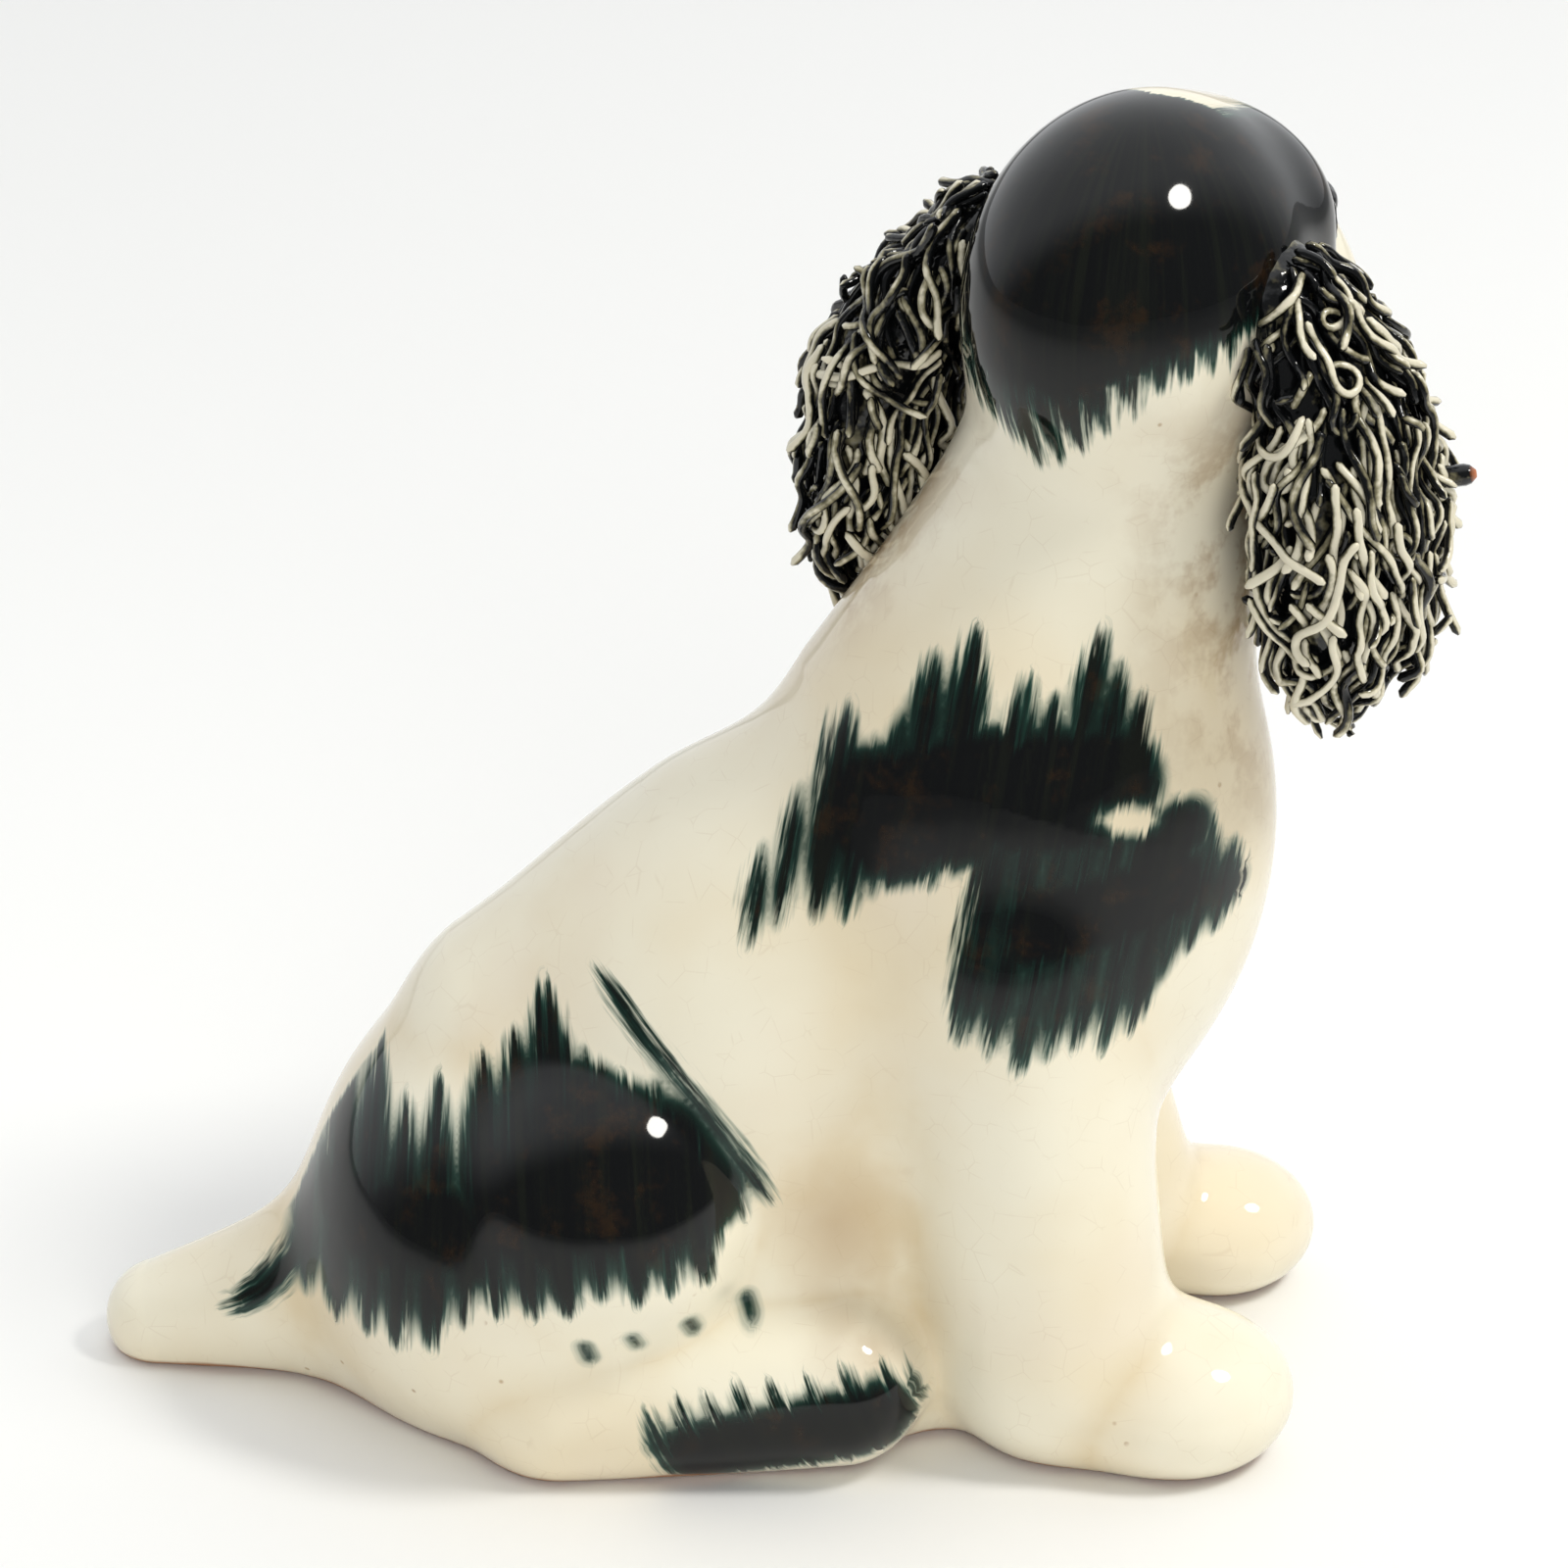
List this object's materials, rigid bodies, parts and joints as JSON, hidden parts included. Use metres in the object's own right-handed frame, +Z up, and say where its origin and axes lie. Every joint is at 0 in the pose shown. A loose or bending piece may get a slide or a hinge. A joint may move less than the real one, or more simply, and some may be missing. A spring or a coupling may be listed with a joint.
{
  "type": "dog figurine",
  "caption": "Seated glazed ceramic spaniel with its head turned, long ears covered in extruded clay strands, hollow body on a flat sole.",
  "frame": {"origin": "middle of the flat sole on the ground, under the body", "axes": "+Z up; the body faces -Y, the tail points to +Y, the dog's left side and its turned head are towards +X"},
  "size_m": [0.0682, 0.1434, 0.1463],
  "materials": {
    "cream_glaze": "glossy cream glaze over pale earthenware, with brushed black-green patches",
    "head_glaze": "glossy black glaze cap over cream",
    "black_glaze": "glossy black glaze",
    "ear_glaze": "glossy black glaze pooled between the strands",
    "strand_glaze": "thin cream glaze on the ridges, black in the hollows",
    "bare_clay": "matt unglazed earthenware"
  },
  "bodies": {
    "root": {"head_shell": "head_glaze", "left_ear_crown_strands": "strand_glaze", "left_ear_hanging_strands": "strand_glaze", "left_ear_lower_strands": "strand_glaze", "left_ear_middle_strands": "strand_glaze", "left_ear_pad": "ear_glaze", "left_ear_tip_strands": "strand_glaze", "left_ear_upper_strands": "strand_glaze", "left_eye": "black_glaze", "left_foreleg": "cream_glaze", "left_haunch": "cream_glaze", "left_hind_foot": "cream_glaze", "muzzle": "cream_glaze", "nose": "black_glaze", "right_ear_crown_strands": "strand_glaze", "right_ear_hanging_strands": "strand_glaze", "right_ear_lower_strands": "strand_glaze", "right_ear_middle_strands": "strand_glaze", "right_ear_pad": "ear_glaze", "right_ear_tip_strands": "strand_glaze", "right_ear_upper_strands": "strand_glaze", "right_eye": "black_glaze", "right_foreleg": "cream_glaze", "right_haunch": "cream_glaze", "right_hind_foot": "cream_glaze", "sole_plate": "bare_clay", "tail": "cream_glaze", "torso_shell": "cream_glaze"}
  },
  "joints": []
}
